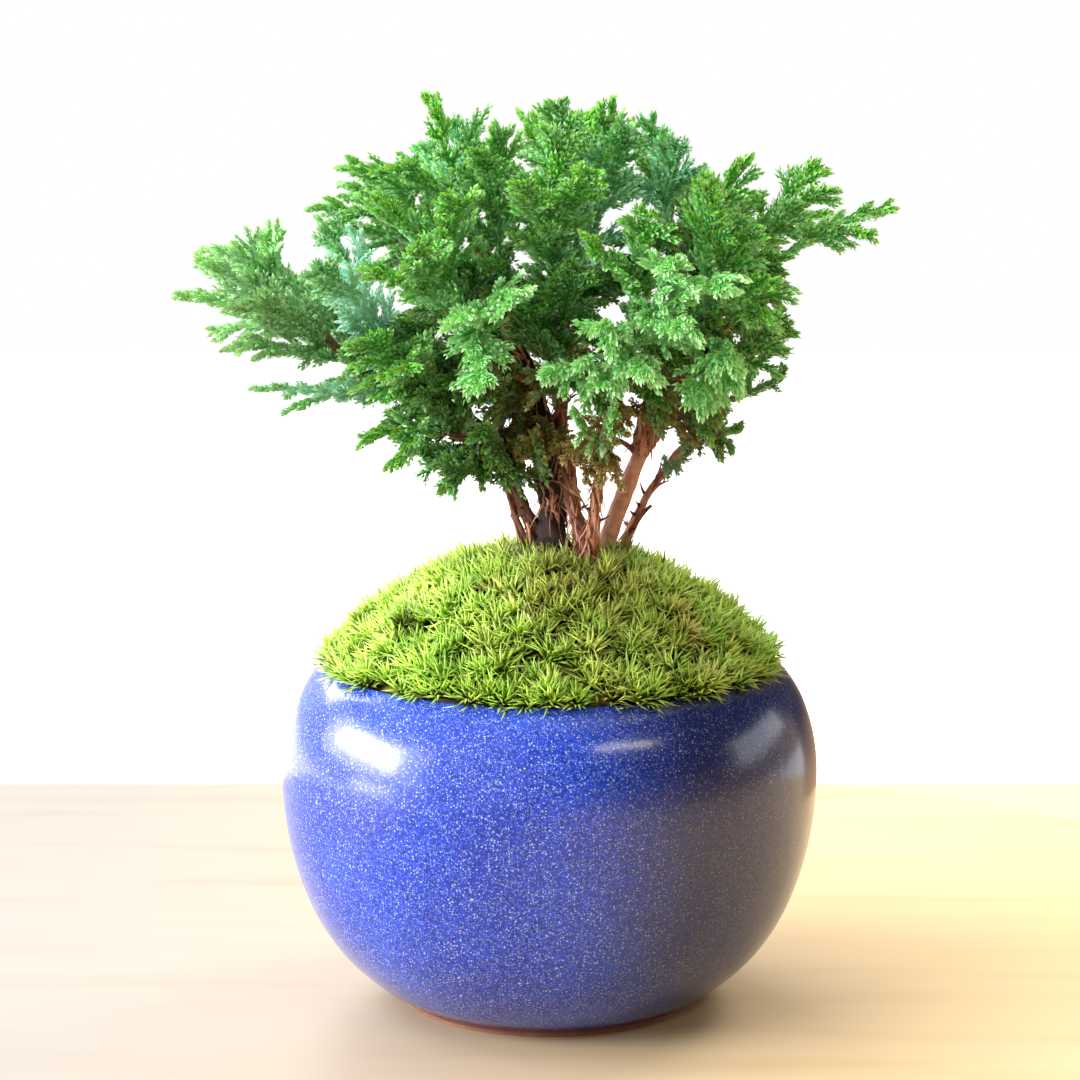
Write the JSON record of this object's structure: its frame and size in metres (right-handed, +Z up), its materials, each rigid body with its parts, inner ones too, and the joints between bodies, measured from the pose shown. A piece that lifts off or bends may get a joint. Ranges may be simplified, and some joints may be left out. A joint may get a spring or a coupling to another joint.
{
  "type": "sawara cypress bonsai",
  "caption": "Miniature sawara cypress clump with flat leafy sprays, standing in a mossy mound in a round cobalt-glazed pot with drain holes.",
  "frame": {"origin": "centre of the pot's flat underside, on the pot's axis", "axes": "+Z up along the pot's axis, +X to the right as seen from the front, the front faces -Y"},
  "size_m": [0.1499, 0.1128, 0.191],
  "materials": {
    "cobalt_glaze": "glossy cobalt blue glaze with fine pale specks, bare reddish clay at the foot",
    "black_plastic": "matt black",
    "soil": "damp granular potting soil",
    "moss": "soft bright yellow-green moss tufts",
    "bark": "rough red-brown bark peeling in strips",
    "foliage_fresh": "satin green scale leaves",
    "foliage_bright": "satin bright yellow-green scale leaves",
    "foliage_blue": "green scale leaves with a blue-white bloom",
    "foliage_deep": "satin deep green scale leaves"
  },
  "bodies": {
    "root": {"pot": "cobalt_glaze", "drain_screen": "black_plastic", "soil": "soil", "moss": "moss", "wood": "bark", "spray_left_arm_end": "foliage_fresh", "spray_left_arm_top": "foliage_fresh", "spray_left_arm_front": "foliage_deep", "spray_left_arm_low": "foliage_blue", "spray_left_arm_back": "foliage_deep", "spray_left_arm_under": "foliage_deep", "spray_left_inner": "foliage_blue", "spray_left_inner_front": "foliage_fresh", "spray_left_low": "foliage_fresh", "spray_left_low_inner": "foliage_deep", "spray_left_low_front": "foliage_deep", "spray_shoulder_left": "foliage_fresh", "spray_shoulder_left_back": "foliage_deep", "spray_spike_left": "foliage_fresh", "spray_top_left": "foliage_blue", "spray_top_left_middle": "foliage_fresh", "spray_front_upper_left": "foliage_fresh", "spray_front_left": "foliage_fresh", "spray_front_left_centre": "foliage_bright", "spray_back_left": "foliage_deep", "spray_back_left_low": "foliage_deep", "spray_top_middle": "foliage_fresh", "spray_top_right_middle": "foliage_fresh", "spray_front_upper": "foliage_fresh", "spray_front_high": "foliage_blue", "spray_back_upper": "foliage_deep", "spray_back": "foliage_deep", "spray_back_low": "foliage_deep", "spray_centre_hanging": "foliage_bright", "spray_centre_fan": "foliage_bright", "spray_centre_low": "foliage_bright", "spray_fan_up": "foliage_fresh", "spray_fan_right": "foliage_bright", "spray_top_right": "foliage_blue", "spray_upper_right": "foliage_fresh", "spray_upper_right_back": "foliage_deep", "spray_right_tips": "foliage_fresh", "spray_right_end": "foliage_fresh", "spray_right_inner": "foliage_deep", "spray_front_upper_right": "foliage_fresh", "spray_front_right": "foliage_fresh", "spray_hanging_right": "foliage_bright", "spray_back_upper_right": "foliage_deep", "spray_back_right": "foliage_deep", "spray_back_right_low": "foliage_deep", "spray_right_side": "foliage_fresh", "spray_right_low": "foliage_deep", "spray_right_under": "foliage_deep", "spray_right_under_front": "foliage_fresh", "spray_right_stub": "foliage_blue", "spray_inner_front": "foliage_deep", "spray_inner_left": "foliage_deep", "spray_inner_right": "foliage_deep", "spray_inner_back_left": "foliage_deep", "spray_inner_back_right": "foliage_deep"}
  },
  "joints": []
}
